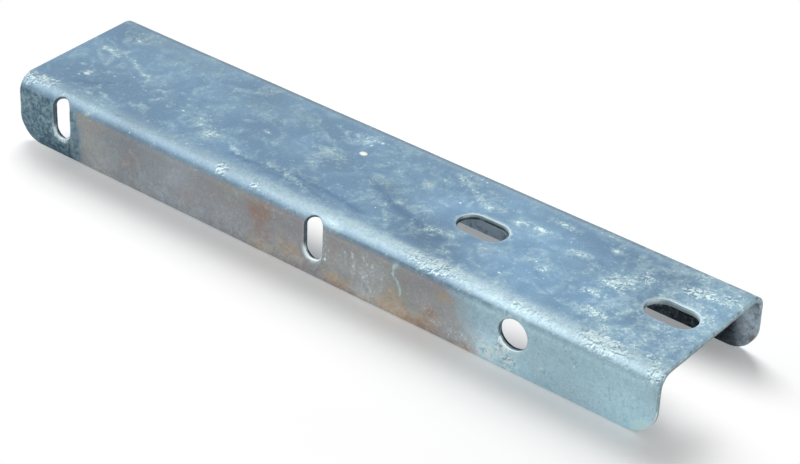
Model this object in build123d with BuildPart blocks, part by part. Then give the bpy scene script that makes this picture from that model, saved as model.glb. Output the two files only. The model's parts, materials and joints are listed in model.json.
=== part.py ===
"""Fender bracket: one galvanised steel sheet, holed while flat and folded into a shallow channel.

The web lies on top and both flanges point down. X runs along the channel, with the round hole
towards +X, the flange with the holes is on the -Y side, and Z = 0 is the flanges' free edges.
The origin is the middle of the channel's footprint. All sizes are in millimetres.
"""

from build123d import *
import os
from math import cos, sin

# Folded sheet, over its outer faces
length = 343.0
width = 76.2
height = 30.8
thickness = 2.7
inner_bend_radius = 5.5
corner_radius = 12.7
edge_rounding = 0.4

# Slots in the web, which run along the channel on its centre line
web_slot_length = 23.8
web_slot_width = 14.3
web_slot_spacing = 92.7
web_slot_end_inset = 19.5

# Upright slots in the flange. Their length is measured on the flat sheet
flange_slot_length = 20.5
flange_slot_width = 10.0
flange_slot_end_inset = 26.0
flange_slot_spacing = 146.0

# Round hole in the flange
flange_hole_diameter = 14.3
flange_hole_end_inset = 68.0

# Middle of the round hole and the slots, below the web's outer face
flange_hole_drop = 12.8

# Bends, as radii about their axes
outer_bend_radius = inner_bend_radius + thickness
middle_bend_radius = inner_bend_radius + thickness / 2
bend_start = height - outer_bend_radius
bend_axis_y = -width / 2 + outer_bend_radius

# Where the holes are along the channel
left_end = -length / 2
right_end = length / 2
web_slot_x = [right_end - web_slot_end_inset - i * web_slot_spacing for i in range(2)]
flange_slot_x = [left_end + flange_slot_end_inset + i * flange_slot_spacing for i in range(2)]
flange_hole_x = right_end - flange_hole_end_inset

# A flange slot's upper end lies in the bend, where the fold has turned it by this angle
flange_hole_height = height - flange_hole_drop
slot_radius = flange_slot_width / 2
slot_bottom = flange_hole_height - flange_slot_length / 2
slot_top = flange_hole_height + flange_slot_length / 2
slot_turn = max(0.0, slot_top - bend_start) / middle_bend_radius
slot_end_level = min(slot_top, bend_start)
slot_end_overlap = thickness * (1 + sin(slot_turn))

# The slot's sides are cut square to the flange up to where its upper end begins to close in
slot_sides_top = slot_end_level + (inner_bend_radius * sin(slot_turn) - slot_radius) / cos(slot_turn)

through_sheet = 2 * thickness

near_flange = Plane(origin=(0, -width / 2, 0), x_dir=(1, 0, 0), z_dir=(0, -1, 0))
slot_end = Plane(
    origin=(0, bend_axis_y, slot_end_level),
    x_dir=(1, 0, 0),
    z_dir=(0, -cos(slot_turn), sin(slot_turn)),
)

with BuildPart() as fender_bracket:
    # Channel, as the middle of the sheet given its thickness
    with BuildSketch(Plane.YZ):
        with BuildLine():
            side = (width - thickness) / 2
            top = height - thickness / 2
            FilletPolyline((-side, 0), (-side, top), (side, top), (side, 0), radius=middle_bend_radius)
        trace(line_width=thickness)
    extrude(amount=length / 2, both=True)

    # Rounded lower corners of both flanges
    flange_corners = fender_bracket.edges().filter_by(Axis.Y).group_by(Axis.Z)[0]
    fillet(flange_corners, radius=corner_radius)

    # Web slots
    with BuildSketch(Plane.XY.offset(height)):
        with Locations(*[(x, 0) for x in web_slot_x]):
            SlotOverall(web_slot_length, web_slot_width)
    extrude(amount=-through_sheet, mode=Mode.SUBTRACT)

    # Round hole, and the flange slots' lower ends and sides, all square to the flange
    with BuildSketch(near_flange):
        with Locations((flange_hole_x, flange_hole_height)):
            Circle(flange_hole_diameter / 2)
        with Locations(*[(x, slot_bottom + slot_radius) for x in flange_slot_x]):
            Circle(slot_radius)
            Rectangle(
                flange_slot_width,
                slot_sides_top - slot_bottom - slot_radius,
                align=(Align.CENTER, Align.MIN),
            )
    extrude(amount=-through_sheet, mode=Mode.SUBTRACT)

    # The flange slots' upper ends, square to the sheet where it turns
    with BuildSketch(slot_end):
        with Locations(*[(x, -slot_radius) for x in flange_slot_x]):
            Circle(slot_radius)
            Rectangle(flange_slot_width, slot_end_overlap, align=(Align.CENTER, Align.MAX))
    extrude(amount=outer_bend_radius + thickness, mode=Mode.SUBTRACT)

    # Zinc rounds every cut edge, on both faces of the sheet
    broad_area = thickness * length
    broad_faces = fender_bracket.faces().filter_by(lambda face: face.area > broad_area)
    cut_faces = fender_bracket.faces().filter_by(lambda face: face.area <= broad_area)
    fillet(broad_faces.edges() & cut_faces.edges(), radius=edge_rounding)

fender_bracket.part.label = "fender_bracket"
os.makedirs("parts", exist_ok=True)
export_step(fender_bracket.part, "parts/fender_bracket.step")
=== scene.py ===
"""Fender bracket: the folded sheet with its hot-dip zinc skin, on a pale floor in soft light.

The sheet is laid out flat, punched, meshed and then folded, so both faces, the cut edges and the
bends are one closed mesh. Lengths are metres in the CAD frame, and marks on the skin are placed
on the flat sheet: x along the channel, s across it from the holed flange's free edge.
"""

import json
from math import ceil, cos, pi, radians, sin, sqrt

import bpy
import numpy as np
from mathutils import Matrix, Vector
from mathutils.geometry import delaunay_2d_cdt
from mathutils.noise import noise


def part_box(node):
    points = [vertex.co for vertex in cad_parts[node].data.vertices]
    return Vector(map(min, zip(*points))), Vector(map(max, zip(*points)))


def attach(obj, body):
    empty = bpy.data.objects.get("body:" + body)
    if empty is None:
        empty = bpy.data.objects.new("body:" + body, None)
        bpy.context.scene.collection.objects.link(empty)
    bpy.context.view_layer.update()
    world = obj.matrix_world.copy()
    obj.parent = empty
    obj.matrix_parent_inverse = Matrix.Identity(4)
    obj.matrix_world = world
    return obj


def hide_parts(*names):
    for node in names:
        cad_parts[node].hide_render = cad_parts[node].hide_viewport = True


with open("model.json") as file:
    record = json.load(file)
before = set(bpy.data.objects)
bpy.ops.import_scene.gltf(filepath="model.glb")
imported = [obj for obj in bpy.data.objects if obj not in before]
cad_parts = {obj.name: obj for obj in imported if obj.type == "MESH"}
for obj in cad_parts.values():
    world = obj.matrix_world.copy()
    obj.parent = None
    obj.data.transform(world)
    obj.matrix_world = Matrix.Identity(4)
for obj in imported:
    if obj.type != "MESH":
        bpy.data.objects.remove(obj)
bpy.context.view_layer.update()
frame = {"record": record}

mm = 0.001

# Sheet, from the CAD box and the mounts
low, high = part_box("fender_bracket")
length = high.x - low.x
width = high.y - low.y
height = high.z - low.z
thickness = 2.7 * mm
outer_bend_radius = 8.2 * mm
middle_bend_radius = outer_bend_radius - thickness / 2
corner_radius = 12.7 * mm
edge_rounding = 0.4 * mm

mounts = {mount["name"]: mount for mount in frame["record"]["mounts"]}
web_slots = mounts["web_slots"]
flange_hole = mounts["flange_hole"]
flange_slot_spacing = 146.0 * mm
flange_slot_length = 20.5 * mm
flange_slot_width = 10.0 * mm

# Flat sheet: flange, bend, web, bend, flange
bend_start = height - outer_bend_radius
bend_run = middle_bend_radius * pi / 2
web_start = bend_start + bend_run
web_flat = width - 2 * outer_bend_radius
sheet_width = 2 * web_start + web_flat
web_middle = sheet_width / 2

# Mesh spacing
outer_spacing = 1.05 * mm
inner_spacing = 1.55 * mm
rim_spacing = 1.0 * mm
rim_rounding_steps = 3
rim_wall_steps = 3

# Camera, fitted to the photograph's edges
photo_width = 800
photo_height = 464
camera_azimuth = 37.115
camera_elevation = 33.26
camera_roll = 2.34
camera_distance = 1049.3 * mm
camera_target = (21.16 * mm, -5.73 * mm, 15.0 * mm)
camera_lens = 112.34


def srgb(red, green, blue):
    """Linear colour of an 8-bit one."""
    parts = [c / 255 for c in (red, green, blue)]
    return [c / 12.92 if c <= 0.04045 else ((c + 0.055) / 1.055) ** 2.4 for c in parts] + [1.0]


class Cut:
    """A closed line on the flat sheet: the sheet's own outline, or a hole through it.

    Its points each have a direction that leads out of the line, so it can be drawn wider or
    narrower. A hole that is cut square to the flange keeps its height where the sheet turns.
    """

    def __init__(self, x, s, half_x, half_s, radius, is_hole=True, square_to_flange=False):
        self.centre = np.array([x, s])
        self.half = np.array([half_x, half_s])
        self.radius = radius
        self.is_hole = is_hole
        self.square_to_flange = square_to_flange
        self.points, self.outward = self.line()

    def line(self):
        """Points at the rim's spacing, arcs and straight runs alike, counterclockwise."""
        points, outward = [], []
        arc_steps = max(6, ceil(self.radius * pi / 2 / rim_spacing))
        straight = self.half - self.radius
        corners = [(1, 1), (-1, 1), (-1, -1), (1, -1)]
        for i, corner in enumerate(corners):
            middle = self.centre + straight * corner
            for step in range(arc_steps + 1):
                angle = (i + step / arc_steps) * pi / 2
                direction = np.array([cos(angle), sin(angle)])
                points.append(middle + self.radius * direction)
                outward.append(direction)
            following = self.centre + straight * corners[(i + 1) % 4] + self.radius * direction
            run = np.linalg.norm(following - points[-1])
            steps = round(run / rim_spacing)
            begin = points[-1]
            if run < 1e-9:
                points.pop()
                outward.pop()
            for step in range(1, steps):
                points.append(begin + (following - begin) * step / steps)
                outward.append(direction)
        return np.array(points), np.array(outward)

    def distance(self, at):
        """How far outside the line each point is, below zero inside it."""
        past = np.abs(at - self.centre) - self.half + self.radius
        outside = np.linalg.norm(np.maximum(past, 0), axis=1)
        return outside + np.minimum(past.max(axis=1), 0) - self.radius

    def ring(self, inset, depth):
        """The line, drawn inset into the sheet, at that height above the sheet's middle."""
        side = 1 if self.is_hole else -1
        ring = self.points + side * inset * self.outward
        return self.to_sheet(ring, depth)

    def to_sheet(self, points, depth):
        """Where heights on a flange are along the sheet, for a cut that is square to the flange."""
        if not self.square_to_flange:
            return points
        points = points.copy()
        above = np.maximum(points[:, 1] - bend_start, 0)
        turn = np.arcsin(above / (middle_bend_radius + depth))
        points[:, 1] = np.minimum(points[:, 1], bend_start) + middle_bend_radius * turn
        return points


def fold(flat, depth):
    """Points of the flat sheet, depth above its middle, in the folded channel."""
    x, s = flat[:, 0], flat[:, 1]
    run = np.minimum(s, sheet_width - s)
    turn = np.clip((run - bend_start) / middle_bend_radius, 0, pi / 2)
    along_web = np.maximum(run - web_start, 0)
    up_flange = np.minimum(run, bend_start)
    radius = middle_bend_radius + depth
    y = -width / 2 + outer_bend_radius - radius * np.cos(turn) + along_web
    z = up_flange + radius * np.sin(turn)
    far_side = s > web_middle
    return np.column_stack([x, np.where(far_side, -y, y), z])


def all_cuts():
    """The sheet's outline, then its holes."""
    cuts = [Cut(0, web_middle, length / 2, web_middle, corner_radius, is_hole=False)]
    dims = web_slots["dims"]
    for side in (-1, 1):
        x = web_slots["pos_m"][0] + side * dims["spacing_x_mm"] * mm / 2
        radius = dims["hole_r_mm"] * mm
        cuts.append(Cut(x, web_middle, dims["slot_length_mm"] * mm / 2, radius, radius))
    x, _, hole_height = flange_hole["pos_m"]
    radius = flange_hole["dims"]["r_mm"] * mm
    cuts.append(Cut(x, hole_height, radius, radius, radius, square_to_flange=True))
    radius = flange_slot_width / 2
    for side in (-1, 1):
        x = mounts["flange_slots"]["pos_m"][0] + side * flange_slot_spacing / 2
        cuts.append(Cut(x, hole_height, radius, flange_slot_length / 2, radius))
    return cuts


def rim_profile():
    """Inset and height of each ring of a cut edge, from the outer face to the inner one."""
    profile = []
    for step in range(rim_rounding_steps + 1):
        angle = step / rim_rounding_steps * pi / 2
        inset = edge_rounding * (1 - sin(angle))
        profile.append((inset, thickness / 2 - edge_rounding * (1 - cos(angle))))
    wall = thickness / 2 - edge_rounding
    middle = [(0, wall * (1 - 2 * step / rim_wall_steps)) for step in range(1, rim_wall_steps)]
    return profile + middle + [(inset, -depth) for inset, depth in reversed(profile)]


def hex_grid(spacing, cuts, rings):
    """Points inside the sheet, clear of every ring."""
    rows = ceil(sheet_width / (spacing * sqrt(3) / 2))
    columns = ceil(length / spacing) + 1
    row, column = np.mgrid[0:rows, 0:columns]
    x = (column + (row % 2) / 2) * spacing - length / 2 - spacing / 4
    s = (row + 0.5) * spacing * sqrt(3) / 2
    at = np.column_stack([x.ravel(), s.ravel()])
    clear = 0.6 * spacing + edge_rounding
    keep = cuts[0].distance(at) < -clear
    for cut in cuts[1:]:
        keep &= cut.distance(at) > clear + (0.6 * mm if cut.square_to_flange else 0)
    return at[keep]


def triangulate(points, rings, cuts):
    """Triangles of one face between its rings, as indices into points."""
    edges = []
    start = 0
    for ring in rings:
        edges += [(start + i, start + (i + 1) % len(ring)) for i in range(len(ring))]
        start += len(ring)
    vectors = [Vector(p) for p in points / mm]
    made = delaunay_2d_cdt(vectors, edges, [], 0, 1e-7, True)
    origin = [sources[0] for sources in made[3]]
    triangles = np.array([[origin[i] for i in face] for face in made[2]])
    keep = np.ones(len(triangles), bool)
    start = 0
    for ring, cut in zip(rings, cuts):
        of_ring = (triangles >= start) & (triangles < start + len(ring))
        if cut.is_hole:
            keep &= ~of_ring.all(axis=1)
        start += len(ring)
    return triangles[keep]


def sheet_mesh():
    """Flat places, depths and faces of the closed sheet."""
    cuts = all_cuts()
    profile = rim_profile()
    rings = [[cut.ring(inset, depth) for inset, depth in profile] for cut in cuts]
    flat, depth, faces = [], [], []

    def add(points, at_depth):
        start = sum(len(p) for p in flat)
        flat.append(points)
        depth.append(np.full(len(points), at_depth))
        return start

    ring_start = [[0] * len(profile) for _ in cuts]
    for level, spacing in ((0, outer_spacing), (len(profile) - 1, inner_spacing)):
        at_depth = profile[level][1]
        face_rings = [cut_rings[level] for cut_rings in rings]
        grid = hex_grid(spacing, cuts, face_rings)
        points = np.vstack(face_rings + [grid])
        start = add(points, at_depth)
        for i, ring in enumerate(face_rings):
            ring_start[i][level] = start + sum(len(r) for r in face_rings[:i])
        triangles = triangulate(points, face_rings, cuts) + start
        faces += (triangles if level == 0 else triangles[:, ::-1]).tolist()
    for i, cut_rings in enumerate(rings):
        for level in range(1, len(profile) - 1):
            ring_start[i][level] = add(cut_rings[level], profile[level][1])
        count = len(cut_rings[0])
        for level in range(len(profile) - 1):
            a, b = ring_start[i][level], ring_start[i][level + 1]
            for k in range(count):
                following = (k + 1) % count
                quad = [a + k, b + k, b + following, a + following]
                faces.append(quad[::-1] if cuts[i].is_hole else quad)
    return np.vstack(flat), np.concatenate(depth), faces


def web(x, y):
    """Place on the flat sheet of a point on the web, given in millimetres."""
    return np.array([x * mm, web_middle + y * mm])


def flange(x, z):
    """Place on the flat sheet of a point on the holed flange, given in millimetres."""
    return np.array([x * mm, z * mm])


def far_flange(x, z):
    """Place on the flat sheet of a point on the flange without holes, given in millimetres."""
    return np.array([x * mm, sheet_width - z * mm])


def bend(x, turn):
    """Place on the flat sheet of a point on the near bend. It turns from 0 at the flange to 90."""
    return np.array([x * mm, bend_start + middle_bend_radius * radians(turn)])


def patch(flat, place, long, short, angle=0.0):
    """Soft oval patch, 1 in its middle. Its half axes are in millimetres."""
    offset = (flat - place) / mm
    turn = radians(angle)
    along = offset[:, 0] * cos(turn) + offset[:, 1] * sin(turn)
    across = offset[:, 1] * cos(turn) - offset[:, 0] * sin(turn)
    return np.exp(-((along / long) ** 2 + (across / short) ** 2))


def patches(flat, place_on, marks):
    """The strongest of several patches at each point."""
    cover = np.zeros(len(flat))
    for x, y, long, short, angle, strength in marks:
        cover = np.maximum(cover, strength * patch(flat, place_on(x, y), long, short, angle))
    return cover


def strokes(flat, place_on, marks):
    """The strongest of several soft lines at each point."""
    cover = np.zeros(len(flat))
    for half_width, strength, *points in marks:
        places = [place_on(*point) for point in points]
        for begin, end in zip(places, places[1:]):
            run = end - begin
            share = np.clip((flat - begin) @ run / (run @ run), 0, 1)
            off = np.linalg.norm(flat - begin - share[:, None] * run, axis=1) / mm
            cover = np.maximum(cover, strength * np.exp(-((off / half_width) ** 2)))
    return cover


def ramp(value, start, end):
    """Smooth rise from 0 at start to 1 at end."""
    share = np.clip((value - start) / (end - start), 0, 1)
    return share * share * (3 - 2 * share)


def waves(flat, size, shift):
    """Smooth noise on the flat sheet, from about -0.8 to 0.8, with features of that size in mm."""
    scale = 1 / (size * mm)
    return np.array([noise(Vector((x * scale, s * scale, shift))) for x, s in flat])


# Marks of the skin in millimetres, each with x, y or height, half axes, angle and strength
web_deposits = [
    (-156, 6, 6, 2.5, -20, 0.9),
    (-151, -15, 2.5, 1.6, 30, 1.0),
    (-158, -11, 1.5, 1.2, 0, 0.8),
    (-154, 21, 2.0, 0.8, -20, 0.7),
    (-84, -14, 8, 4, -20, 0.7),
    (-74, -19, 6, 4, -10, 1.0),
    (-58, -21, 6, 1.6, -25, 1.0),
    (-57, -1, 2.6, 1.2, -10, 1.0),
    (-26, -7, 5, 3, -10, 0.5),
    (-28, 6, 8, 2.5, 20, 0.7),
    (-10, 2, 6, 3, 50, 0.6),
    (45, -15, 9, 3.5, 15, 0.9),
    (57, -24, 5, 3, 0, 0.7),
    (35, -5, 5, 3, 0, 0.5),
    (20, -7, 2, 1.6, 0, 0.8),
    (69, 13, 5, 2.4, 10, 1.2),
    (58, 16, 3, 2, 0, 0.8),
    (78, 15, 4, 2.2, 0, 1.3),
    (84, 24, 8, 2.6, 0, 0.9),
    (101.5, 11, 5, 2.2, 20, 1.3),
    (111, 22.5, 3, 2, 0, 1.2),
    (122, 22, 3, 2, 0, 0.9),
    (103, 30, 5, 2.2, 0, 0.8),
    (89, -5.5, 3, 1.4, 0, 0.9),
    (97, -9, 8, 4, -30, 0.6),
    (126, 6.5, 8, 4.5, 0, 1.3),
    (129, -19.7, 8, 4, 0, 1.3),
    (-20, 3, 8, 4, -30, 0.7),
    (9, -9, 10, 3, -30, 0.5),
    (-21, 23, 7, 4, 0, 0.8),
    (118, -9, 6, 2.4, 0, 0.8),
    (123, 3, 9, 6, 0, 1.0),
    (131, 14, 6, 6, 0, 0.9),
    (127, -19, 8, 3.5, 0, 0.9),
    (138, -26, 5, 3, 0, 0.9),
    (153, 19, 10, 5, 5, 1.2),
    (164, 22, 8, 6, 0, 0.9),
    (159, -18, 5, 3, 0, 0.7),
    (163, -30, 7, 4, 0, 0.9),
    (165, 5, 5, 4, 0, 0.7),
]
web_flecks = [
    (-14, 12.5, 2.0, 1.6, 0, 1.0),
    (-15.5, 20, 0.9, 1.5, 0, 0.6),
]
web_dots = [
    (-13, 24.7, 1.2, 1.1, 0, 0.8),
    (-1, 14, 1.2, 0.9, 0, 0.7),
    (9.5, -0.7, 1.4, 1.2, 0, 0.5),
    (20.5, -7.3, 1.1, 1.0, 0, 0.55),
    (-58, 0.5, 1.0, 0.6, 30, 0.8),
    (-56, -1, 1.2, 0.7, -20, 0.9),
    (-84, -7.5, 1.0, 0.8, 0, 0.7),
    (-96, -12, 1.4, 1.0, 0, 0.8),
    (-102, -10.5, 1.1, 1.0, 0, 0.6),
    (-150.5, -16.4, 2.0, 1.4, 20, 1.0),
    (-158, -11.5, 1.4, 1.0, 0, 0.6),
    (-139.5, -10, 1.1, 1.1, 0, 0.7),
    (-153.5, 21, 1.4, 1.0, 0, 0.9),
    (41, 9, 1.0, 0.8, 0, 0.7),
    (37, 29.5, 1.2, 1.0, 0, 0.7),
    (40, 29, 1.0, 0.9, 0, 0.7),
    (68, 13, 1.6, 1.0, 10, 0.9),
    (72, 14, 1.3, 0.9, 10, 0.8),
    (78, 15, 1.7, 1.2, 0, 1.0),
    (60, -17, 1.3, 1.0, 0, 0.6),
    (111, 22, 1.5, 1.1, 0, 0.9),
    (84, -22, 1.4, 1.0, 0, 0.7),
]
flange_dots = [
    (97.9, 13.4, 1.4, 0.8, -52, 1.3),
    (99.3, 11.9, 1.4, 0.8, -38, 1.4),
    (101.2, 10.7, 1.3, 0.7, -22, 1.1),
    (101.2, 9.0, 1.0, 0.7, 0, 0.9),
    (7.4, 17.4, 0.7, 1.3, 0, 0.6),
    (7.2, 11.4, 0.9, 1.2, 0, 0.8),
    (-149.6, 9.2, 0.9, 1.6, 30, 0.8),
    (-146, 6.9, 2.4, 0.8, 0, 0.7),
]
web_streaks = [
    (1.8, 0.5, (-144, 6), (-139, 3.5), (-134, 1), (-129, 0), (-125, -3)),
    (2.0, 0.5, (-161, 6.5), (-156, 5.5), (-151, 4)),
    (1.6, 0.6, (-139, -28), (-133, -29), (-128, -34)),
    (1.6, 0.6, (-129, -29), (-131, -25), (-127, -27)),
    (2.2, 0.7, (-39, -20), (-27, -22), (-13, -26)),
    (1.4, 0.6, (-37, 24), (-29, 20)),
    (2.4, 0.9, (28, 26), (32, 24), (39, 20.5), (45.5, 17.5), (52, 14)),
    (1.4, 0.6, (18, -13), (29, -26)),
]
web_scratches = [
    (1.2, 0.8, (-166, 13), (-162, 12), (-156, 9.6), (-150, 8), (-144, 6)),
    (1.7, 1.0, (-161, 6.5), (-156, 5.5), (-151, 4)),
    (1.4, 1.0, (-144, 5.8), (-139, 3.3), (-134, 0.8), (-129, 0), (-126, -2), (-124.5, -4.6)),
    (1.2, 0.7, (-123, -8), (-123.5, -4), (-120, -2.6)),
    (1.3, 1.0, (-117, -6), (-113.3, -5.5), (-112, -2.5)),
    (1.2, 0.9, (-113.3, -5.5), (-109.6, -7.3)),
    (1.3, 0.9, (-112, -15.3), (-112.3, -14), (-110.5, -12.3), (-109.4, -9.7)),
    (1.2, 0.7, (-146, -5.7), (-145.8, -2.7), (-142, -2)),
    (1.2, 0.8, (-118, -22.5), (-115.5, -23.4), (-115, -21.3)),
    (1.0, 0.7, (-159, 22.7), (-153.6, 21)),
    (1.2, 0.5, (-114, 12), (-109.4, 21)),
    (1.3, 0.8, (-143, -30), (-139, -23.5), (-134, -24.5), (-129.5, -31)),
    (1.2, 0.8, (-125, -32), (-128, -25.5), (-124, -27)),
    (1.2, 0.8, (17.5, 20), (22.5, 19), (27, 17.8), (29.3, 16)),
    (1.2, 0.6, (73, 0), (79, -7)),
    (1.2, 0.7, (63, -16), (67, -18)),
    (1.1, 0.5, (81, 0), (92, -9), (102, -19)),
    (1.1, 0.6, (100, 13), (106, 10), (104, 6)),
]
bend_strokes = [
    (1.6, 0.9, (-170, 40), (-168, 70), (-160, 82)),
    (1.8, 0.9, (-166, 60), (-158, 74), (-150, 78)),
    (1.4, 0.8, (-142, 62), (-134, 74), (-127, 88), (-121, 100)),
    (1.4, 0.8, (-138, 50), (-126, 62), (-116, 76)),
    (1.2, 0.6, (-120, 52), (-104, 60), (-90, 56)),
]
web_shadows = [
    (-161, 23, 9, 7, 0, 2.0),
    (-80, 22, 10, 7, 0, 1.0),
    (140, 22, 10, 6, 0, 2.2),
    (-150, -20, 18, 10, 10, 1.3),
    (-125, -16, 16, 9, -20, 0.7),
    (-60, -12, 28, 12, -10, 0.5),
    (-40, 20, 12, 6, 0, 0.6),
    (-20, -20, 22, 7, -10, 0.7),
    (24, -10, 20, 6, -30, 1.0),
    (46, -22, 16, 7, -20, 3.2),
    (-20, 0, 9, 7, 0, 1.0),
    (-60, 0, 9, 7, 0, 1.0),
    (-140, -22, 9, 6, 0, 1.8),
    (140, 2, 5, 9, 0, 1.2),
    (118, 22, 24, 6, 0, 0.9),
    (106, 9, 7, 3, 10, 0.7),
    (145, -12, 8, 6, 0, 0.4),
]
web_lights = [
    (-20, 23, 9, 6, 0, 0.5),
    (-40, 0, 9, 7, 0, 0.4),
    (-60, -21, 9, 6, 0, 0.5),
    (0, -21, 8, 6, 0, 0.4),
    (42, 7, 16, 10, 20, 0.9),
    (58, 24, 18, 8, 0, 0.7),
    (82, 8, 24, 16, 0, 0.9),
    (92, -14, 24, 16, -20, 1.0),
    (122, -12, 14, 16, 0, 0.9),
    (162, 6, 14, 28, 0, 0.9),
    (150, -24, 22, 8, 0, 0.6),
]
flange_lights = [
    (158, 8, 16, 14, 0, 1.0),
    (90, 5, 9, 8, 0, 2.4),
    (30, 3, 9, 4, 0, 1.2),
    (45, 3, 7, 4, 0, 0.8),
    (106, 4, 8, 5, 0, 0.9),
    (168, 3, 9, 7, 0, 2.5),
    (-120, 4, 6, 4, 0, 0.7),
    (30, 12, 11, 11, 0, 0.4),
    (75, 10, 7, 9, 0, 0.4),
    (-76, 18, 9, 7, 0, 0.8),
    (-90, 3, 7, 4, 0, 0.5),
]
flange_shades = [
    (-106, 12, 10, 30, 0, 1.6),
    (-47, 22, 10, 6, 0, 0.3),
    (-30, 17, 7, 7, 0, 1.0),
    (45, 12, 7, 7, 0, 1.5),
    (29, 14, 8, 8, 0, 0.8),
]
web_dark_streaks = [
    (1.6, 0.9, (-56, -24), (-48, -25), (-22, -20), (2, -22), (14, -24)),
    (1.2, 0.6, (-40, -26), (-20, -24), (0, -27)),
    (2.2, 0.8, (0, -1), (16, -8), (25, -12), (39, -15), (51, -18)),
    (1.4, 0.7, (-150, -24), (-140, -20), (-132, -10)),
    (1.2, 0.6, (81, 0), (92, -9), (102, -19)),
]
web_stains = [
    (-145, 26, 12, 5, 0, 0.8),
    (-127, 23, 9, 5, 0, 0.7),
    (-114, 26, 12, 4, 0, 0.9),
    (-71, 14, 14, 6, 0, 0.7),
    (-52, 19, 10, 5, 0, 0.8),
    (-75, 27, 10, 4, 0, 0.5),
    (-40, -4, 8, 4, 0, 0.5),
    (11, -1, 6, 5, 0, 0.8),
    (50, 26, 14, 5, 0, 0.5),
    (156, 20, 16, 12, 0, 0.5),
    (155, -20, 12, 8, 0, 0.5),
]
flange_rust = [
    (-29, 19, 8, 7, 70, 0.8),
    (-29, 10, 7, 7, 80, 0.6),
    (14, 1, 10, 2.6, 0, 0.7),
    (-6, 0, 9, 2.4, 0, 0.5),
    (12, 14, 4, 7, 0, 0.5),
    (47, 18, 5, 7, 75, 0.4),
    (56, 1.5, 10, 2.4, 0, 0.9),
    (63, 10, 5, 3.5, -20, 0.8),
    (66, 5, 9, 4, -20, 0.6),
    (69, 20, 7, 3, -10, 0.5),
    (80, 1.5, 9, 2.2, 0, 0.8),
    (-70, 10, 12, 7, 40, 0.4),
    (-104, 14, 8, 8, 0, 0.35),
]
# Painted shadow inside the channel, on the inner face of the flange without holes
far_shadow_patches = [
    (126, 6, 24, 16, 0, 1.3),
    (149, 4, 10, 10, 0, 1.2),
]
far_rust = [
    (170.5, 8.5, 1.6, 1.6, 30, 0.9),
    (159, 1.2, 1.4, 1.0, 0, 0.5),
]
flange_ochre = [
    (44, 3, 11, 6, 0, 1.2),
    (44, 10, 7, 5, 0, 0.8),
    (28, 1.5, 7, 3, 0, 0.6),
    (14, 4, 10, 4, 0, 0.9),
    (-12, 7, 12, 7, 0, 0.7),
    (-28, 3, 11, 4, 0, 0.7),
    (60, 4, 9, 5, 0, 0.8),
    (69, 20, 6, 3, -10, 0.7),
]
flange_speckle = [
    (-45, 8, 8, 7, 0, 0.55),
    (-70, 4, 22, 3.5, 0, 0.5),
    (-28, 4, 10, 4, 0, 0.4),
    (-12, 4, 8, 3, 0, 0.4),
    (13, 14, 6, 8, 0, 0.5),
    (28, 13, 8, 9, 0, 0.8),
    (36, 18, 6, 6, 0, 0.5),
    (60, 12, 7, 4, 0, 0.5),
    (72, 5, 11, 4, 0, 0.8),
    (95, 6, 12, 7, 0, 1.0),
    (130, 5, 24, 4, 0, 0.4),
]
flange_strokes = [
    (1.2, 1.0, (21, 21.5), (22.5, 16), (22, 11)),
    (1.1, 0.9, (17.7, 20), (18.5, 13)),
    (1.0, 0.7, (15, 17), (16, 11)),
    (1.2, 1.0, (27.5, 22), (29, 17), (27.5, 9)),
    (1.2, 0.9, (32, 20), (33, 12), (31.5, 6)),
    (1.0, 0.8, (36.5, 22), (37, 15)),
    (1.1, 0.9, (62, 6.5), (68, 5.5), (72, 4.2)),
    (1.1, 1.0, (78, 7.5), (80, 5.5), (82, 2.5)),
    (1.0, 0.7, (-44, 12), (-46, 4)),
    (1.0, 0.7, (-50, 13), (-50, 8)),
    (1.0, 0.7, (7, 24), (8, 17), (7.5, 10)),
    (1.2, 0.8, (-139.5, 8), (-139, 3)),
]
flange_scratches = [
    (1.0, 1.15, (44.2, 25), (42.6, 22), (43.1, 19.6), (45.4, 17.4), (46.4, 14.6), (46.8, 11)),
    (0.9, 1.1, (-150.9, 12), (-150, 9), (-148, 7.2), (-145, 6.6), (-142.6, 7.4)),
    (0.8, 0.8, (-151.3, 20), (-151.2, 14)),
    (0.8, 0.7, (-139.6, 19), (-139.4, 12)),
    (0.9, 1.0, (-5.2, 11), (-4, 8.8), (-1.5, 7.0)),
    (0.9, 1.1, (96.2, 14.5), (98.0, 11.5), (100.8, 9.8)),
    (0.8, 0.8, (100.5, 12), (101.5, 7)),
]
flange_crust = [
    (99.5, 9.8, 3, 1.8, -30, 1.0),
    (6.5, 11, 1.4, 4, 0, 0.7),
    (-145.5, 7.4, 4, 1.4, 0, 0.9),
    (97, 10, 2.0, 5, 10, 1.0),
    (102, 5, 5, 2.2, 0, 1.0),
    (102, 1, 3, 1.6, 0, 0.8),
    (91, 4, 6, 3, 0, 0.7),
    (120, 8, 3, 2, 0, 0.6),
    (-152, 9, 3, 2.5, 0, 0.7),
]
bend_crust = [
    (-168, 62, 6, 3.5, 0, 1.0),
    (-160, 76, 9, 3, 0, 0.8),
    (-147, 64, 8, 3, 0, 0.45),
    (-53, 55, 4, 3, 0, 1.0),
    (-34, 50, 4, 2.4, 0, 0.8),
    (60, 62, 18, 3.5, 0, 1.0),
    (142, 66, 12, 4, 0, 1.3),
    (105, 60, 24, 3, 0, 0.6),
    (168, 50, 5, 4, 0, 1.0),
]


def slot_centres(x):
    """The x of the nearest hole in the holed flange, in millimetres."""
    middle = mounts["flange_slots"]["pos_m"][0] / mm
    half = flange_slot_spacing / mm / 2
    places = np.array([middle - half, middle + half, flange_hole["pos_m"][0] / mm])
    return places[np.abs(x[:, None] - places).argmin(axis=1)]


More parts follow.
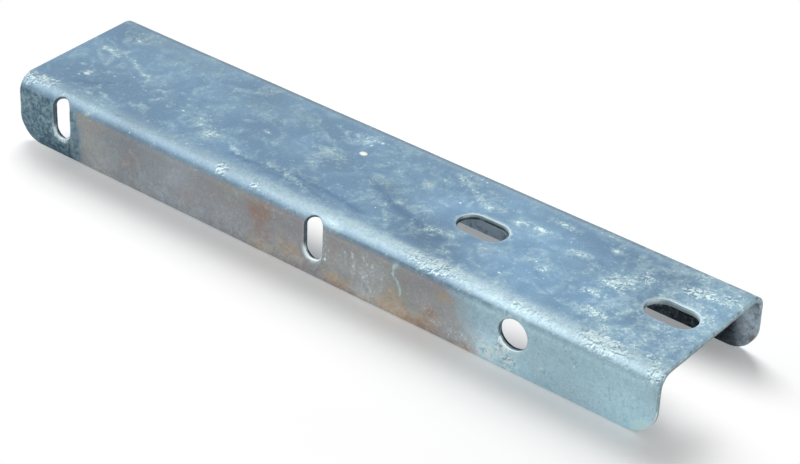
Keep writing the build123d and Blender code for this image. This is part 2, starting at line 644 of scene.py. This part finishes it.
def hole_rim_highlights(flat):
    """Painted highlight on the rims of the holes: 1 at a rim, gone within a millimetre, strongest at the flange
    holes' lower left and the web slots' far side.
    """
    nearest = np.min([cut.distance(flat) for cut in all_cuts() if cut.is_hole], axis=0) / mm
    x, y, z = flat[:, 0] / mm, (flat[:, 1] - web_middle) / mm, flat[:, 1] / mm
    on_flange = z < bend_start / mm + 8
    rim = 1 - ramp(nearest, 0.2, np.where(on_flange, 0.8, 1.1))
    leftward = slot_centres(x) - x
    lower_left = ramp(0.6 * leftward + 0.8 * (flange_hole["pos_m"][2] / mm - z), 5, 9)
    return rim * np.where(on_flange, 0.15 + 0.85 * lower_left, 0.25 + 0.75 * ramp(y, -3, 5))


def skin_layers(flat, depth):
    """What covers the sheet at each point of its mesh, and where light and shade are painted on it, each layer from
    0 to 1.
    """
    x, s = flat[:, 0] / mm, flat[:, 1] / mm
    outer = depth > 0
    run = np.minimum(s, sheet_width / mm - s)
    near = outer & (s < web_middle / mm)
    blur = 6 * waves(flat, 14, 3.1) + 3 * waves(flat, 4, 5.7)
    on_flange = 1 - ramp(run, bend_start / mm + 1.8, bend_start / mm + 3.4)
    deposit = np.maximum(patches(flat, web, web_deposits), strokes(flat, web, web_streaks))
    deposit = deposit * (0.6 + 1.2 * np.abs(waves(flat, 2.4, 7.3)))
    deposit = np.maximum(deposit, 0.45 * ramp(x + blur, 100, 150) * (1 - on_flange))
    speckle = np.maximum(patches(flat, flange, flange_speckle), strokes(flat, flange, flange_strokes))
    drift = np.column_stack([waves(flat, 3.0, 9.6), waves(flat, 3.0, 1.9)]) * 1.6 * mm
    scratch = strokes(flat + drift, web, web_scratches)
    scratch = np.maximum(scratch, 0.75 * strokes(flat + drift, bend, bend_strokes))
    scratch = np.maximum(scratch, strokes(flat + 0.4 * drift, flange, flange_scratches))
    crust = np.maximum(patches(flat, bend, bend_crust), 0.8 * patches(flat, web, web_deposits[-11:]))
    crust = np.maximum(crust, patches(flat, flange, flange_crust))
    teal = 1 - ramp(x + 0.1 * (s - 12) + 0.8 * blur, -145, -128)
    mint = ramp(x + 0.65 * s + 1.2 * blur, 80, 103)
    brown = np.where(near, (1 - teal) * (1 - mint), 0.35) * on_flange * outer
    # Painted reflection: a dark line low on the near bend, below the highlight, fainter at the left end and towards
    # the right
    dark_reflection_line = np.exp(-(((run - bend_start / mm - 3.0) / 0.7) ** 2))
    dark_reflection_line = dark_reflection_line * (0.4 + 0.6 * ramp(x, -30, 20)) * (1 - 0.45 * ramp(x, 88, 130))
    edge = (np.abs(depth) < thickness / 2 - 0.3 * edge_rounding) * 1.0
    beside_hole = np.abs(s - web_middle / mm) < 12
    at_end = (run < 0.5) | (np.abs(x) > length / mm / 2 - corner_radius / mm)
    # Painted light on hole walls that face up, under the flange holes, and on the web slot walls past x 130 mm;
    # painted shade on the other hole walls
    under_hole = near * (s > 1) * ramp(flange_hole["pos_m"][2] / mm - s, 3.5, 6.5)
    lit_hole_wall = np.maximum(0.6 * (beside_hole & (x > 130) & ~at_end), under_hole)
    bead = under_hole * (x < flange_hole["pos_m"][0] / mm - 20) * edge
    rightward = ramp(x + blur, 60, 110)
    # Painted highlight along the upper half of the near bend, wider and higher towards the right end, with a
    # brighter spot at x 8 mm; fainter on the far bend
    bend_highlight_place = (run - bend_start / mm - 8.1 + 1.3 * rightward) / (2.4 + 1.1 * rightward)
    bend_highlight = np.exp(-(bend_highlight_place ** 2)) * (0.15 + 0.85 * ramp(x + blur, -90, 50))
    # Painted shade: a dark stripe along the far bend, just short of the web
    far_bend_shade = ramp(web_start / mm - run, 0.3, 1.8) * (1 - ramp(web_start / mm - run, 4, 6))
    # Painted shadow on the far flange's inner face from x 120 mm, fading again towards the open end
    far_shadow_span = ramp(x, 120, 140) * (1 - ramp(x + 0.5 * blur, 154, 171))
    far_inside = (depth < -0.3 * thickness) & (s > web_middle / mm)
    return {
        "deposit": deposit * outer,
        "speckle": speckle * near,
        "scratch": scratch * outer,
        "light": np.maximum(patches(flat, web, web_lights), patches(flat, flange, flange_lights)) * outer,
        "crust": crust * outer,
        "shade": np.maximum(patches(flat, web, web_shadows), patches(flat, flange, flange_shades)) * outer,
        "stain": patches(flat, web, web_stains) * outer,
        "teal": teal * on_flange * near,
        "brown": brown,
        "bare": 1 - 0.75 * teal * on_flange * near - 0.6 * brown * (1 - 0.7 * np.minimum(speckle, 1)),
        "rust": patches(flat, flange, flange_rust) * on_flange * near,
        "cool": (1 - ramp(x + 2 * blur, -75, -35)) * near,
        "ochre": patches(flat, flange, flange_ochre) * on_flange * near,
        # Lighter towards the flanges' free edge: pale dust there, and painted light that evens out the shadowed
        # floor they mirror
        "low": (0.1 + 0.9 * ramp(run, 26, 2)) * on_flange * np.where(near, 1 - teal, 0.6) * outer,
        "streak": strokes(flat, web, web_dark_streaks) * outer,
        "mint": mint * (1 - ramp(run, bend_start / mm + 1.5, bend_start / mm + 5)) * near,
        "dark_reflection_line": dark_reflection_line * near,
        # Painted sheen: a paler stripe along both bends, where they catch the light
        "bend_sheen": np.exp(-(((run - bend_start / mm - 6.7) / 3.5) ** 2)) * outer,
        # Painted highlight on the hole rims
        "rim": hole_rim_highlights(flat) * outer,
        "fleck": patches(flat, web, web_flecks) * outer,
        "dot": np.maximum(patches(flat, web, web_dots), patches(flat, flange, flange_dots)) * outer,
        "inside": (depth < -0.3 * thickness) * 1.0,
        "inner_rust": (depth < 0) * patches(flat, far_flange, far_rust),
        "inner_painted_shadow": far_inside * np.maximum(patches(flat, far_flange, far_shadow_patches), far_shadow_span),
        "inner_shade": far_inside * ramp(run, 17, 26) * (1 - ramp(run, 33, 36)),
        "bend_highlight": np.maximum(bend_highlight, patch(flat, bend(8, 54), 7, 4)) * np.where(near, 1, 0.4) * outer,
        "far_bend_shade": (outer & (s > web_middle / mm)) * far_bend_shade,
        "bead": (bead + 0.2 * edge * near * (s > 1) * ~at_end) * (1 - (depth / (thickness / 2)) ** 2),
        "edge": edge * at_end,
        "lit_hole_wall": edge * lit_hole_wall,
        "shaded_hole_wall": edge * (1 - lit_hole_wall) * ~at_end,
    }


def relief(flat, depth, layers):
    """How far the zinc stands out of the sheet's plain face at each point, in metres."""
    outer = np.where(depth > 0, 0.0, 50.0)
    places = flat + outer[:, None] * mm
    broad = 0.05 * waves(places, 26, 1.3)
    dapple = 0.03 * waves(places, 6, 4.7)
    lumps = np.abs(waves(places, 2.6, 8.9))
    crust = 0.22 * layers["crust"] * lumps
    deposit = 0.05 * layers["deposit"] * waves(places, 2.2, 6.2)
    cut_edges = layers["edge"] + layers["shaded_hole_wall"] + layers["lit_hole_wall"]
    rough_edge = 0.08 * cut_edges * waves(places + depth[:, None], 2.0, 2.4)
    flecks = 0.35 * layers["fleck"] + 0.15 * layers["dot"]
    bead = 0.8 * layers["bead"] * (1 + 0.5 * waves(places, 3.0, 5.2))
    return (broad + dapple + crust + deposit + rough_edge + flecks + bead) * mm


class Painter:
    """Adds shader nodes to a material and joins them up."""

    def __init__(self, material):
        material.use_nodes = True
        self.nodes = material.node_tree.nodes
        self.links = material.node_tree.links
        self.place = self.nodes.new("ShaderNodeTexCoord").outputs["Object"]

    def put(self, socket, value):
        if isinstance(value, bpy.types.NodeSocket):
            self.links.new(value, socket)
        else:
            socket.default_value = value

    def layer(self, name):
        node = self.nodes.new("ShaderNodeAttribute")
        node.attribute_name = name
        return node.outputs["Fac"]

    def noise(self, size, detail=3.0, roughness=0.55, distortion=0.0, shift=0.0, stretch=(1, 1, 1), step=0.0):
        """Noise with features of that size in millimetres, from 0 to 1. Step moves it that far in x, y and z."""
        mapping = self.nodes.new("ShaderNodeMapping")
        self.put(mapping.inputs["Vector"], self.place)
        self.put(mapping.inputs["Location"], (shift - step, shift * 0.7 + step, shift * 1.3 + step))
        self.put(mapping.inputs["Scale"], stretch)
        node = self.nodes.new("ShaderNodeTexNoise")
        self.put(node.inputs["Vector"], mapping.outputs["Vector"])
        self.put(node.inputs["Scale"], 1 / (size * mm))
        self.put(node.inputs["Detail"], detail)
        self.put(node.inputs["Roughness"], roughness)
        self.put(node.inputs["Distortion"], distortion)
        return node.outputs["Fac"]

    def maths(self, operation, a, b=0.0):
        node = self.nodes.new("ShaderNodeMath")
        node.operation = operation
        self.put(node.inputs[0], a)
        self.put(node.inputs[1], b)
        return node.outputs[0]

    def total(self, *terms):
        """Sum of terms, each a value or a pair of a value and its weight."""
        result = 0.0
        for term in terms:
            value = self.maths("MULTIPLY", *term) if isinstance(term, tuple) else term
            result = self.maths("ADD", result, value)
        return result

    def rise(self, value, start, end, lowest=0.0, highest=1.0):
        """Smooth rise from lowest at start to highest at end."""
        node = self.nodes.new("ShaderNodeMapRange")
        node.interpolation_type = "SMOOTHSTEP"
        self.put(node.inputs["Value"], value)
        self.put(node.inputs["From Min"], start)
        self.put(node.inputs["From Max"], end)
        self.put(node.inputs["To Min"], lowest)
        self.put(node.inputs["To Max"], highest)
        return node.outputs["Result"]

    def mix(self, share, a, b):
        node = self.nodes.new("ShaderNodeMix")
        node.data_type = "RGBA"
        self.put(node.inputs["Factor"], share)
        self.put(node.inputs[6], a)
        self.put(node.inputs[7], b)
        return node.outputs[2]

    def line(self, field, level, half_width):
        """1 where the field is at that level, falling to 0 by the half width from it."""
        off = self.maths("ABSOLUTE", self.maths("SUBTRACT", field, level))
        return self.rise(off, 0.0, half_width, 1.0, 0.0)

    def curls(self, size, shift, distortion, half_width):
        """Thin curling lines, 1 along their middles."""
        return self.line(self.noise(size, 1.0, 0.5, distortion, shift), 0.5, half_width)


# Colours of the skin
steel_blue = srgb(124, 157, 182)
deep_blue = srgb(112, 144, 171)
pale_blue = srgb(146, 176, 192)
zinc_wash = srgb(152, 182, 194)
# Dark blue of pits, also the painted shade on the crust's lumps
pit_blue_and_shade = srgb(74, 104, 126)
zinc_white = srgb(184, 210, 212)
# Pale zinc of crust lines, specks and dots, also the painted highlight on lumps and hole rims
bright_zinc_and_highlight = srgb(214, 232, 234)
olive = srgb(140, 162, 160)
dark_teal = srgb(62, 92, 106)
pale_teal = srgb(124, 152, 160)
mint_shade = srgb(140, 164, 170)
brown_film = srgb(150, 145, 145)
cool_film = srgb(147, 150, 153)
film_white = srgb(196, 206, 212)
olive_film = srgb(154, 152, 145)
rust_red = srgb(160, 125, 102)
ochre = srgb(190, 160, 118)
scratch_white = srgb(194, 220, 218)
cream = srgb(238, 244, 232)
mint_grey = srgb(170, 202, 211)
# Dark blue of the painted reflection line on the near bend
dark_reflection_blue = srgb(78, 106, 120)
# Blue of the painted sheen on the bends, then white of the painted highlight on them
bend_sheen_blue = srgb(160, 180, 192)
bend_highlight_white = srgb(208, 234, 241)
streak_blue = srgb(84, 116, 150)
edge_grey = srgb(132, 156, 158)
edge_dark = srgb(84, 98, 98)
# Pale of the painted light on up-facing hole walls, then dark of the painted shade on the others
lit_hole_wall = srgb(230, 244, 250)
shaded_hole_wall = srgb(40, 60, 74)
# Dark blue of the painted shade along the far bend
far_bend_shade_blue = srgb(50, 92, 116)
inner_grey = srgb(208, 222, 232)
dust = srgb(184, 192, 196)
# Grey of the grime inside, also the painted shade along the inside of the far bend
inner_grime_and_shade = srgb(70, 84, 96)
# Near black of the painted shadow inside the channel
inner_painted_shadow = srgb(6, 9, 12)


def galvanised_steel():
    """Zinc skin: mottled blue, with pale deposits, a brown film and rust on one flange, and painted light and shade.
    """
    material = bpy.data.materials.new("galvanised_steel")
    paint = Painter(material)
    shader = paint.nodes["Principled BSDF"]
    layer = {name: paint.layer(name) for name in layer_names}

    tone = paint.noise(32, 3, 0.5)
    cloud = paint.noise(10, 3, 0.55, 0.9, shift=0.3)
    mottle = paint.noise(4, 3, 0.6, 0.8, shift=0.7)
    fine = paint.noise(1.8, 2, 0.5, 0.6, shift=0.9)
    grain = paint.noise(0.9, 1, 0.5, shift=1.1)
    long_curls = paint.curls(6.0, 1.7, 2.2, 0.07)
    short_curls = paint.curls(3.0, 2.3, 1.4, 0.1)
    curls = paint.maths("MAXIMUM", long_curls, short_curls)

    light = paint.total((tone, 0.4), (cloud, 0.6), (layer["shade"], -0.26))
    colour = paint.mix(paint.rise(light, 0.34, 0.6), deep_blue, steel_blue)
    pale = paint.total((cloud, 0.5), (mottle, 0.3), (fine, 0.2), (layer["deposit"], 0.1))
    colour = paint.mix(paint.rise(pale, 0.5, 0.66, 0, 0.9), colour, pale_blue)
    stained = paint.maths("MULTIPLY", layer["stain"], paint.rise(mottle, 0.4, 0.6))
    colour = paint.mix(paint.maths("MULTIPLY", stained, 0.6), colour, olive)
    colour = paint.mix(paint.maths("MULTIPLY", layer["streak"], 0.75), colour, streak_blue)
    # Painted sheen along both bends
    colour = paint.mix(paint.maths("MULTIPLY", layer["bend_sheen"], 0.65), colour, bend_sheen_blue)
    # Painted highlight along the near bend, mottled
    highlight_mottle = paint.rise(paint.total((mottle, 0.6), (fine, 0.4)), 0.3, 0.6, 0.45, 0.85)
    colour = paint.mix(paint.maths("MULTIPLY", layer["bend_highlight"], highlight_mottle), colour, bend_highlight_white)

    film = paint.total(layer["brown"], (cloud, 0.4), (mottle, 0.3), -0.35)
    film_colour = paint.mix(layer["cool"], brown_film, cool_film)
    film_colour = paint.mix(paint.rise(paint.total(tone, (layer["ochre"], 0.3)), 0.45, 0.7), film_colour, olive_film)
    warm = paint.total(layer["ochre"], (mottle, 0.8), -0.4)
    film_colour = paint.mix(paint.rise(warm, 0.2, 0.9, 0, 0.7), film_colour, ochre)
    colour = paint.mix(paint.rise(film, 0.15, 0.75, 0, 0.92), colour, film_colour)
    colour = paint.mix(paint.maths("MULTIPLY", layer["mint"], 0.85), colour, mint_grey)
    rust = paint.total(layer["rust"], (cloud, 1.2), (mottle, 0.4), -0.8)
    colour = paint.mix(paint.rise(rust, 0.1, 0.8, 0, 0.7), colour, rust_red)
    spots = paint.rise(paint.total((cloud, 0.25), (mottle, 0.35), (fine, 0.4)), 0.42, 0.6)
    spotted = paint.mix(spots, dark_teal, pale_teal)
    dark = paint.total(layer["teal"], (mottle, 0.6), -0.3)
    colour = paint.mix(paint.rise(dark, 0.3, 0.8, 0, 0.9), colour, spotted)
    # Painted reflection: a broken dark line along the near bend
    broken = paint.maths("MULTIPLY", layer["dark_reflection_line"], paint.rise(mottle, 0.35, 0.55, 0.3, 0.8))
    colour = paint.mix(broken, colour, dark_reflection_blue)
    dusted = paint.maths("MULTIPLY", layer["low"], paint.rise(mottle, 0.35, 0.65, 0.0, 0.35))
    colour = paint.mix(dusted, colour, dust)

    colour = paint.mix(paint.maths("MULTIPLY", layer["inside"], 0.85), colour, inner_grey)
    grimy = paint.rise(paint.total((cloud, 0.35), (mottle, 0.35), (fine, 0.3)), 0.56, 0.4, 0, 0.6)
    colour = paint.mix(paint.maths("MULTIPLY", layer["inside"], grimy), colour, inner_grime_and_shade)
    # Painted shadow: near black on the far flange's inner face
    shadowed_inside = paint.rise(paint.total(layer["inner_painted_shadow"], (mottle, 0.6), -0.3), 0.15, 0.8, 0, 0.95)
    colour = paint.mix(shadowed_inside, colour, inner_painted_shadow)
    # Painted shade along the inside of the far bend
    colour = paint.mix(paint.maths("MULTIPLY", layer["inner_shade"], 0.65), colour, inner_grime_and_shade)
    colour = paint.mix(layer["inner_rust"], colour, rust_red)
    # Painted shade along the far bend
    colour = paint.mix(paint.maths("MULTIPLY", layer["far_bend_shade"], 0.75), colour, far_bend_shade_blue)
    rough_colour = paint.mix(paint.rise(mottle, 0.35, 0.5), edge_dark, edge_grey)
    colour = paint.mix(paint.maths("MULTIPLY", layer["edge"], 0.85), colour, rough_colour)
    # Painted light on up-facing hole walls, painted shade on the other hole walls
    colour = paint.mix(paint.maths("MULTIPLY", layer["lit_hole_wall"], 0.95), colour, lit_hole_wall)
    colour = paint.mix(paint.maths("MULTIPLY", layer["shaded_hole_wall"], 0.95), colour, shaded_hole_wall)

    strokes_dark = paint.maths("MULTIPLY", paint.curls(9.0, 4.1, 2.6, 0.12), 0.14)
    colour = paint.mix(strokes_dark, colour, deep_blue)
    hair = paint.maths("MULTIPLY", paint.curls(7.0, 9.1, 2.5, 0.025), paint.rise(cloud, 0.48, 0.64, 0, 0.4))
    colour = paint.mix(hair, colour, zinc_white)
    bare = layer["bare"]
    spread = paint.total((cloud, 0.3), (mottle, 0.45), (fine, 0.25), (layer["deposit"], 0.3))
    wash = paint.maths("MULTIPLY", paint.rise(spread, 0.5, 0.76, 0, 0.75), bare)
    colour = paint.mix(wash, colour, zinc_wash)
    scatter = paint.total((mottle, 0.3), (fine, 0.5), (grain, 0.2), (layer["deposit"], 0.11))
    flakes = paint.maths("MULTIPLY", paint.rise(scatter, 0.61, 0.71, 0, 0.7), bare)
    colour = paint.mix(flakes, colour, zinc_white)
    dashes = paint.noise(1.2, 2, 0.6, 0.4, 3.9, (1, 1, 0.6))
    dashed = paint.total((dashes, 0.6), (grain, 0.4), (layer["speckle"], 0.13))
    dashed = paint.maths("MULTIPLY", paint.rise(dashed, 0.6, 0.72, 0, 0.75), layer["speckle"])
    colour = paint.mix(paint.maths("MULTIPLY", layer["speckle"], 0.2), colour, film_white)
    colour = paint.mix(dashed, colour, film_white)

    halo = paint.maths("MULTIPLY", layer["scratch"], paint.rise(mottle, 0.35, 0.6, 0.15, 0.5))
    colour = paint.mix(halo, colour, zinc_wash)
    scratched = paint.total((layer["scratch"], 0.9), (fine, 1.1), (mottle, 0.6), -0.85)
    scratched = paint.rise(scratched, 0.55, 1.1, 0, 0.65)
    colour = paint.mix(scratched, colour, scratch_white)

    worked = paint.maths("MAXIMUM", paint.maths("MULTIPLY", layer["deposit"], 0.72), layer["crust"])
    # Painted light and shade on the crust: the noise's slope, read 0.3 mm apart in one fixed direction, lightens one
    # side of each lump and darkens the other
    lumps = paint.noise(2.0, 1, 0.5, 0.8, 6.3)
    beyond = paint.noise(2.0, 1, 0.5, 0.8, 6.3, step=0.3 * mm)
    slope = paint.maths("SUBTRACT", lumps, beyond)
    chipped = paint.rise(paint.total(worked, (mottle, 1.0), -0.5), 0.25, 0.75)
    painted_lit_slopes = paint.maths("MULTIPLY", paint.rise(slope, 0.03, 0.09, 0, 0.9), chipped)
    painted_shaded_slopes = paint.maths("MULTIPLY", paint.rise(slope, -0.045, -0.11, 0, 0.6), chipped)
    colour = paint.mix(painted_lit_slopes, colour, bright_zinc_and_highlight)
    colour = paint.mix(painted_shaded_slopes, colour, pit_blue_and_shade)
    clusters = paint.total((cloud, 0.5), (mottle, 0.5), (worked, 0.2))
    gathered = paint.maths("MULTIPLY", paint.rise(clusters, 0.6, 0.76, 0, 0.6), bare)
    lines = paint.maths("MULTIPLY", curls, gathered)
    colour = paint.mix(lines, colour, bright_zinc_and_highlight)
    pits = paint.rise(paint.total((fine, 0.5), (grain, 0.5)), 0.37, 0.28, 0, 0.4)
    colour = paint.mix(pits, colour, pit_blue_and_shade)
    sparks = paint.rise(paint.total((fine, 0.5), (grain, 0.5), (worked, 0.08)), 0.65, 0.74, 0, 0.8)
    sparks = paint.maths("MULTIPLY", sparks, bare)
    colour = paint.mix(sparks, colour, bright_zinc_and_highlight)
    # Painted highlight on the hole rims
    colour = paint.mix(paint.maths("MULTIPLY", layer["rim"], 0.7), colour, bright_zinc_and_highlight)
    dotted = paint.rise(paint.total(layer["dot"], (fine, 0.4), -0.2), 0.35, 0.65, 0, 0.9)
    colour = paint.mix(dotted, colour, bright_zinc_and_highlight)
    colour = paint.mix(paint.rise(layer["fleck"], 0.25, 0.6), colour, cream)

    pitted = paint.rise(paint.total((cloud, 0.3), (mottle, 0.5), (fine, 0.2)), 0.48, 0.38, 0, 0.5)
    colour = paint.mix(paint.maths("MULTIPLY", pitted, layer["mint"]), colour, mint_shade)

    # Painted light: the flanges are brightened towards their free edge
    lift = paint.total((layer["low"], 0.42), (layer["light"], 0.3), (layer["shade"], -0.07))
    speckled = paint.total(paint.rise(grain, 0.3, 0.7, 0.94, 1.06), lift)
    brighter = paint.nodes.new("ShaderNodeVectorMath")
    brighter.operation = "SCALE"
    paint.put(brighter.inputs[0], colour)
    paint.put(brighter.inputs["Scale"], speckled)
    paint.put(shader.inputs["Base Color"], brighter.outputs[0])

    matt = paint.total(0.34, (mottle, 0.14), (flakes, 0.12), (layer["brown"], 0.08), (layer["inside"], 0.1))
    paint.put(shader.inputs["Roughness"], matt)
    paint.put(shader.inputs["Metallic"], 0.75)

    height = paint.total((mottle, 0.4), (fine, 0.25), (flakes, 0.4), (lines, 0.4), (sparks, 0.4))
    height = paint.total(height, (scratched, 0.4), (paint.maths("MULTIPLY", lumps, chipped), 1.5))
    bump = paint.nodes.new("ShaderNodeBump")
    paint.put(bump.inputs["Strength"], 0.6)
    paint.put(bump.inputs["Distance"], 0.12 * mm)
    paint.put(bump.inputs["Height"], height)
    paint.put(shader.inputs["Normal"], bump.outputs["Normal"])
    return material


def build_sheet():
    """The folded sheet, with its zinc skin's relief and layers."""
    flat, depth, faces = sheet_mesh()
    mesh = bpy.data.meshes.new("galvanised_sheet")
    mesh.from_pydata(fold(flat, depth).tolist(), [], faces)
    layers = skin_layers(flat, depth)
    normals = np.zeros(len(flat) * 3, np.float32)
    mesh.vertex_normals.foreach_get("vector", normals)
    places = fold(flat, depth) + normals.reshape(-1, 3) * relief(flat, depth, layers)[:, None]
    mesh.vertices.foreach_set("co", places.astype(np.float32).ravel())
    for name, cover in layers.items():
        attribute = mesh.attributes.new(name, "FLOAT", "POINT")
        attribute.data.foreach_set("value", cover.astype(np.float32))
    mesh.shade_smooth()
    sheet = bpy.data.objects.new("galvanised_sheet", mesh)
    bpy.context.scene.collection.objects.link(sheet)
    return sheet, list(layers)


sheet, layer_names = build_sheet()
sheet.data.materials.append(galvanised_steel())
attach(sheet, "root")
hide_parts("fender_bracket")


def seen_by_eye(nodes, links):
    """1 for what the camera, metal and glass look at, and 0 for light that falls on things."""
    path = nodes.new("ShaderNodeLightPath")
    seen = path.outputs["Is Camera Ray"]
    for kind in ("Is Glossy Ray", "Is Transmission Ray"):
        either = nodes.new("ShaderNodeMath")
        either.operation = "MAXIMUM"
        links.new(seen, either.inputs[0])
        links.new(path.outputs[kind], either.inputs[1])
        seen = either.outputs[0]
    return seen


def between(nodes, links, share, lowest, highest):
    node = nodes.new("ShaderNodeMapRange")
    node.inputs["To Min"].default_value = lowest
    if isinstance(highest, bpy.types.NodeSocket):
        links.new(highest, node.inputs["To Max"])
    else:
        node.inputs["To Max"].default_value = highest
    links.new(share, node.inputs["Value"])
    return node.outputs["Result"]


def distance_from_bracket(nodes, links):
    """0 on the floor near the flanges, rising to 1 away from them, inside the channel too; it sets how far the
    floor's painted glow lifts their shadow.
    """
    past = nodes.new("ShaderNodeVectorMath")
    past.operation = "SUBTRACT"
    size = nodes.new("ShaderNodeVectorMath")
    size.operation = "ABSOLUTE"
    shifted = nodes.new("ShaderNodeVectorMath")
    shifted.operation = "SUBTRACT"
    links.new(nodes.new("ShaderNodeTexCoord").outputs["Object"], shifted.inputs[0])
    shifted.inputs[1].default_value = (shadow_middle, 0, 0)
    links.new(shifted.outputs[0], size.inputs[0])
    links.new(size.outputs[0], past.inputs[0])
    past.inputs[1].default_value = (length / 2 - shadow_end, width / 2, 0)
    outside = nodes.new("ShaderNodeVectorMath")
    outside.operation = "MAXIMUM"
    links.new(past.outputs[0], outside.inputs[0])
    outside.inputs[1].default_value = (0, 0, 0)
    inwards = nodes.new("ShaderNodeVectorMath")
    inwards.operation = "MULTIPLY"
    links.new(past.outputs[0], inwards.inputs[0])
    inwards.inputs[1].default_value = (0, -inner_fade, 0)
    clear = nodes.new("ShaderNodeVectorMath")
    clear.operation = "MAXIMUM"
    links.new(outside.outputs[0], clear.inputs[0])
    links.new(inwards.outputs[0], clear.inputs[1])
    flat = nodes.new("ShaderNodeVectorMath")
    flat.operation = "MULTIPLY"
    links.new(clear.outputs[0], flat.inputs[0])
    flat.inputs[1].default_value = (1, 1, 0)
    far = nodes.new("ShaderNodeVectorMath")
    far.operation = "LENGTH"
    links.new(flat.outputs[0], far.inputs[0])
    rise = nodes.new("ShaderNodeMapRange")
    rise.interpolation_type = "SMOOTHSTEP"
    rise.inputs["From Min"].default_value = shadow_near
    rise.inputs["From Max"].default_value = shadow_far
    links.new(far.outputs["Value"], rise.inputs["Value"])
    return rise.outputs["Result"]


# Floor and world. The floor's own white keeps its shadows as light as the photograph's
floor_white = 0.85
floor_seen_white = 0.82
floor_seen_glow = 0.25
world_fill = 0.25
floor_drop = 0.1 * mm
shadow_end = 52 * mm
shadow_middle = 20 * mm
inner_fade = 3.1
shadow_near = 28 * mm
shadow_far = 110 * mm


def build_floor():
    size = 6.0
    mesh = bpy.data.meshes.new("floor")
    corners = [(-size, -size), (size, -size), (size, size), (-size, size)]
    mesh.from_pydata([(x, y, -floor_drop) for x, y in corners], [], [(0, 1, 2, 3)])
    floor = bpy.data.objects.new("floor", mesh)
    bpy.context.scene.collection.objects.link(floor)
    material = bpy.data.materials.new("floor_paint")
    material.use_nodes = True
    nodes, links = material.node_tree.nodes, material.node_tree.links
    nodes.remove(nodes["Principled BSDF"])
    seen = seen_by_eye(nodes, links)
    away = distance_from_bracket(nodes, links)
    matt = nodes.new("ShaderNodeBsdfDiffuse")
    # Painted light: the floor's glow for the camera and for metal rises away from the flanges and towards the
    # channel's middle, so the floor under the channel is lit though the web shades it
    seen_white = between(nodes, links, away, floor_seen_white, 0.0)
    links.new(between(nodes, links, seen, floor_white, seen_white), matt.inputs["Color"])
    glow = nodes.new("ShaderNodeEmission")
    seen_glow = between(nodes, links, away, floor_seen_glow, 1.0)
    links.new(between(nodes, links, seen, 0.0, seen_glow), glow.inputs["Strength"])
    both = nodes.new("ShaderNodeAddShader")
    links.new(matt.outputs[0], both.inputs[0])
    links.new(glow.outputs[0], both.inputs[1])
    links.new(both.outputs[0], nodes["Material Output"].inputs["Surface"])
    mesh.materials.append(material)


def build_world():
    """White where the camera, metal and glass look at it, and a low fill elsewhere."""
    world = bpy.data.worlds.new("studio")
    bpy.context.scene.world = world
    world.use_nodes = True
    nodes, links = world.node_tree.nodes, world.node_tree.links
    background = nodes["Background"]
    background.inputs["Color"].default_value = (1, 1, 1, 1)
    strength = between(nodes, links, seen_by_eye(nodes, links), world_fill, 1.0)
    links.new(strength, background.inputs["Strength"])


def softbox(name, direction, distance, size_x, size_y, radiance):
    """Rectangular lamp that looks at the bracket from that direction."""
    light = bpy.data.lights.new(name, "AREA")
    light.shape = "RECTANGLE"
    light.size = size_x
    light.size_y = size_y
    light.energy = radiance * pi * size_x * size_y
    lamp = bpy.data.objects.new(name, light)
    place = Vector(direction).normalized() * distance
    lamp.matrix_world = Matrix.Translation(place) @ place.to_track_quat("Z", "Y").to_matrix().to_4x4()
    bpy.context.scene.collection.objects.link(lamp)
    return lamp


def build_camera():
    camera = bpy.data.cameras.new("camera")
    camera.lens = camera_lens
    camera.sensor_width = 36
    azimuth, elevation = radians(camera_azimuth), radians(camera_elevation)
    away = Vector((sin(azimuth) * cos(elevation), -cos(azimuth) * cos(elevation), sin(elevation)))
    turn = away.to_track_quat("Z", "Y").to_matrix().to_4x4()
    holder = bpy.data.objects.new("camera", camera)
    place = Vector(camera_target) + away * camera_distance
    holder.matrix_world = Matrix.Translation(place) @ turn @ Matrix.Rotation(radians(camera_roll), 4, "Z")
    bpy.context.scene.collection.objects.link(holder)
    bpy.context.scene.camera = holder


build_floor()
build_world()
key = softbox("key", (-0.52, 0.5, 0.68), 1.6, 1.0, 1.0, 10.0)
key.visible_glossy = False
gleam = softbox("gleam", (-0.504, -0.54, 0.67), 1.3, 1.6, 0.7, 1.0)
gleam.visible_diffuse = False
build_camera()
bpy.context.scene.view_settings.view_transform = "Standard"
